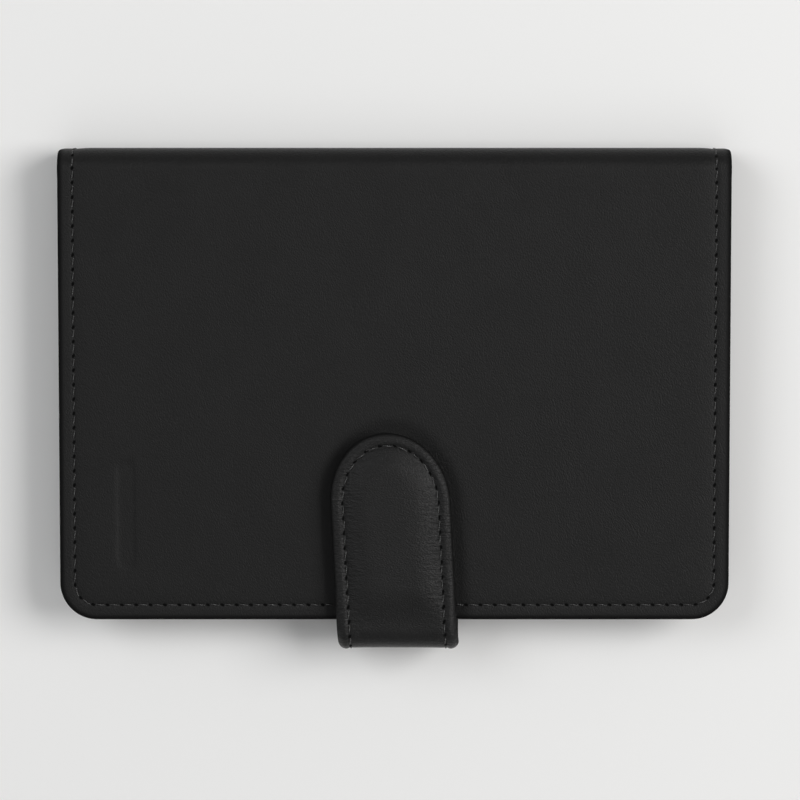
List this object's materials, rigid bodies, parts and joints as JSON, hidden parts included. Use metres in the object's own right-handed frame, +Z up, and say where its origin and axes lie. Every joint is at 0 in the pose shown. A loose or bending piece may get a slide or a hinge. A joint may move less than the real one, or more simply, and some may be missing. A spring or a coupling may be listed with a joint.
{
  "type": "passport holder wallet",
  "caption": "Bifold leather passport wallet with a padded snap strap round its opening edge, an inside passport sleeve and a slanted slip pocket.",
  "frame": {"origin": "middle of the back cover's outer face, on which the closed wallet lies", "axes": "+X along the spine, +Y from the opening edge towards the spine, +Z up through the closed covers"},
  "size_m": [0.145, 0.1083, 0.0188],
  "materials": {
    "nappa_leather": "matte black nappa, fine grain",
    "pocket_leather": "matte black nappa, thinner",
    "lining": "black twill lining",
    "pouch_fabric": "thin black pouch cloth",
    "thread": "black waxed polyester thread",
    "board": "grey-brown bonded board",
    "filler": "grey non-woven felt",
    "snap_metal": "gunmetal, satin",
    "rivet_metal": "antique, satin",
    "spring_steel": "bright wire"
  },
  "bodies": {
    "back_cover": {"back_cover_leather": "nappa_leather", "back_cover_board": "board", "back_cover_infill": "filler", "back_cover_lining": "lining", "back_cover_seam_thread": "thread", "passport_sleeve": "pocket_leather", "passport_sleeve_mouth_thread": "thread", "strap_root_outer_leather": "nappa_leather", "strap_root_filler": "filler", "strap_root_inner_leather": "nappa_leather", "strap_root_thread": "thread"},
    "spine": {"spine_leather": "nappa_leather", "spine_tape": "board", "spine_lining": "lining", "spine_seam_thread": "thread"},
    "front_cover": {"front_cover_leather": "nappa_leather", "front_cover_board": "board", "front_cover_infill": "filler", "front_cover_lining": "lining", "front_cover_seam_thread": "thread", "slip_pocket": "pocket_leather", "slip_pocket_edge_thread": "thread", "card_pouch": "pouch_fabric", "card_slot_welts": "pocket_leather", "card_slot_thread": "thread", "snap_stud": "snap_metal", "snap_stud_eyelet": "rivet_metal"},
    "strap_bridge": {"strap_bridge_outer_leather": "nappa_leather", "strap_bridge_filler": "filler", "strap_bridge_inner_leather": "nappa_leather", "strap_bridge_thread": "thread"},
    "strap_flap": {"strap_flap_outer_leather": "nappa_leather", "strap_flap_filler": "filler", "strap_flap_inner_leather": "nappa_leather", "strap_flap_thread": "thread", "snap_cap": "rivet_metal", "snap_socket": "snap_metal", "snap_socket_spring": "spring_steel"}
  },
  "joints": [
    {"name": "spine_fold", "type": "hinge", "parent": "back_cover", "child": "spine", "pos_m": [0, 0.05003, 0.00097], "axis": [-1, 0, 0], "range_deg": [0, 90]},
    {"name": "cover_fold", "type": "hinge", "parent": "spine", "child": "front_cover", "pos_m": [0, 0.05003, 0.01323], "axis": [-1, 0, 0], "range_deg": [0, 90]},
    {"name": "strap_root_fold", "type": "hinge", "parent": "back_cover", "child": "strap_bridge", "pos_m": [0, -0.05623, 0.00287], "axis": [1, 0, 0], "range_deg": [0, 90]},
    {"name": "strap_flap_fold", "type": "hinge", "parent": "strap_bridge", "child": "strap_flap", "pos_m": [0, -0.05623, 0.01773], "axis": [1, 0, 0], "range_deg": [0, 90]}
  ],
  "couplings": [
    {"joint": "cover_fold", "follows": "spine_fold", "ratio": 1},
    {"joint": "strap_flap_fold", "follows": "strap_root_fold", "ratio": 1}
  ]
}
